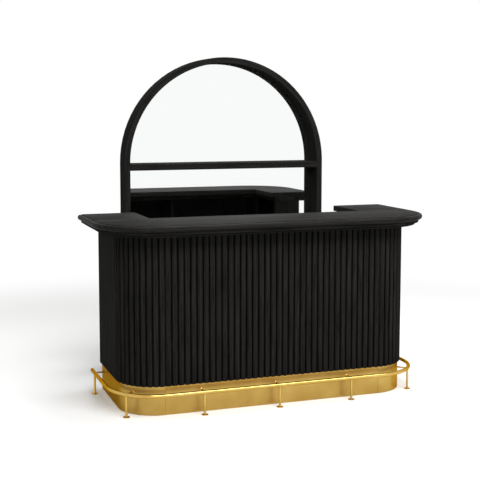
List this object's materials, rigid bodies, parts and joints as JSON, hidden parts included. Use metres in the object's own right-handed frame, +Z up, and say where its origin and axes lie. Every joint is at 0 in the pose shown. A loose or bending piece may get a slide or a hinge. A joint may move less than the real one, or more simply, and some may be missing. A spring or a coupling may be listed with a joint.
{
  "type": "bar counter with shelves",
  "caption": "U-shaped reeded black bar counter with round corners, brass kick plinth and foot rail, open shelves inside, and an arched mirrored back bar with a shelf over cupboards.",
  "frame": {"origin": "centre of the whole set's footprint on the floor", "axes": "+X to the right along the counter front as a customer sees it, +Y from the customer towards the back bar, +Z up"},
  "size_m": [2.012, 1.367, 2.031],
  "materials": {
    "black_oak": "black-stained oak with a satin lacquer",
    "satin_brass": "brushed and lacquered brass",
    "mirror": "silvered glass"
  },
  "bodies": {
    "bar": {"reeded_front_panel": "black_oak", "reeded_corner_left": "black_oak", "reeded_corner_right": "black_oak", "kick_plate_front": "satin_brass", "kick_plate_left": "satin_brass", "kick_plate_right": "satin_brass", "deck_front": "black_oak", "deck_wing_left": "black_oak", "deck_wing_right": "black_oak", "inner_kick_board": "black_oak", "end_panel_left": "black_oak", "end_panel_right": "black_oak", "wing_back_left": "black_oak", "wing_back_right": "black_oak", "partition_left": "black_oak", "partition_right": "black_oak", "centre_divider": "black_oak", "front_shelf_left": "black_oak", "front_shelf_right": "black_oak", "wing_shelf_left": "black_oak", "wing_shelf_right": "black_oak", "moulding_front": "black_oak", "moulding_wing_left": "black_oak", "moulding_wing_right": "black_oak", "top_front": "black_oak", "top_wing_left": "black_oak", "top_wing_right": "black_oak", "foot_rail": "satin_brass", "rail_post_1": "satin_brass", "rail_post_2": "satin_brass", "rail_post_3": "satin_brass", "rail_post_4": "satin_brass", "rail_post_5": "satin_brass", "rail_post_6": "satin_brass", "rail_post_7": "satin_brass", "rail_pin_1": "satin_brass", "rail_pin_2": "satin_brass", "rail_pin_3": "satin_brass", "rail_pin_4": "satin_brass", "rail_pin_5": "satin_brass", "rail_pin_6": "satin_brass", "rail_pin_7": "satin_brass", "cabinet_side_left": "black_oak", "cabinet_side_right": "black_oak", "cabinet_floor": "black_oak", "toe_board": "black_oak", "cabinet_divider_left": "black_oak", "cabinet_divider_right": "black_oak", "cabinet_shelf": "black_oak", "worktop": "black_oak", "arch_leg_left": "black_oak", "arch_leg_right": "black_oak", "arch_crown": "black_oak", "mirror": "mirror", "arch_shelf": "black_oak", "back_panel": "black_oak"},
    "left_door": {"door_left": "black_oak", "knob_left": "satin_brass"},
    "right_door": {"door_right": "black_oak", "knob_right": "satin_brass"}
  },
  "joints": [
    {"name": "left_door_hinge", "type": "hinge", "parent": "bar", "child": "left_door", "pos_m": [-0.14367, 0.3935, 0.47], "axis": [0, 0, 1], "range_deg": [0, 90]},
    {"name": "right_door_hinge", "type": "hinge", "parent": "bar", "child": "right_door", "pos_m": [0.29967, 0.3935, 0.47], "axis": [0, 0, -1], "range_deg": [0, 90]}
  ]
}
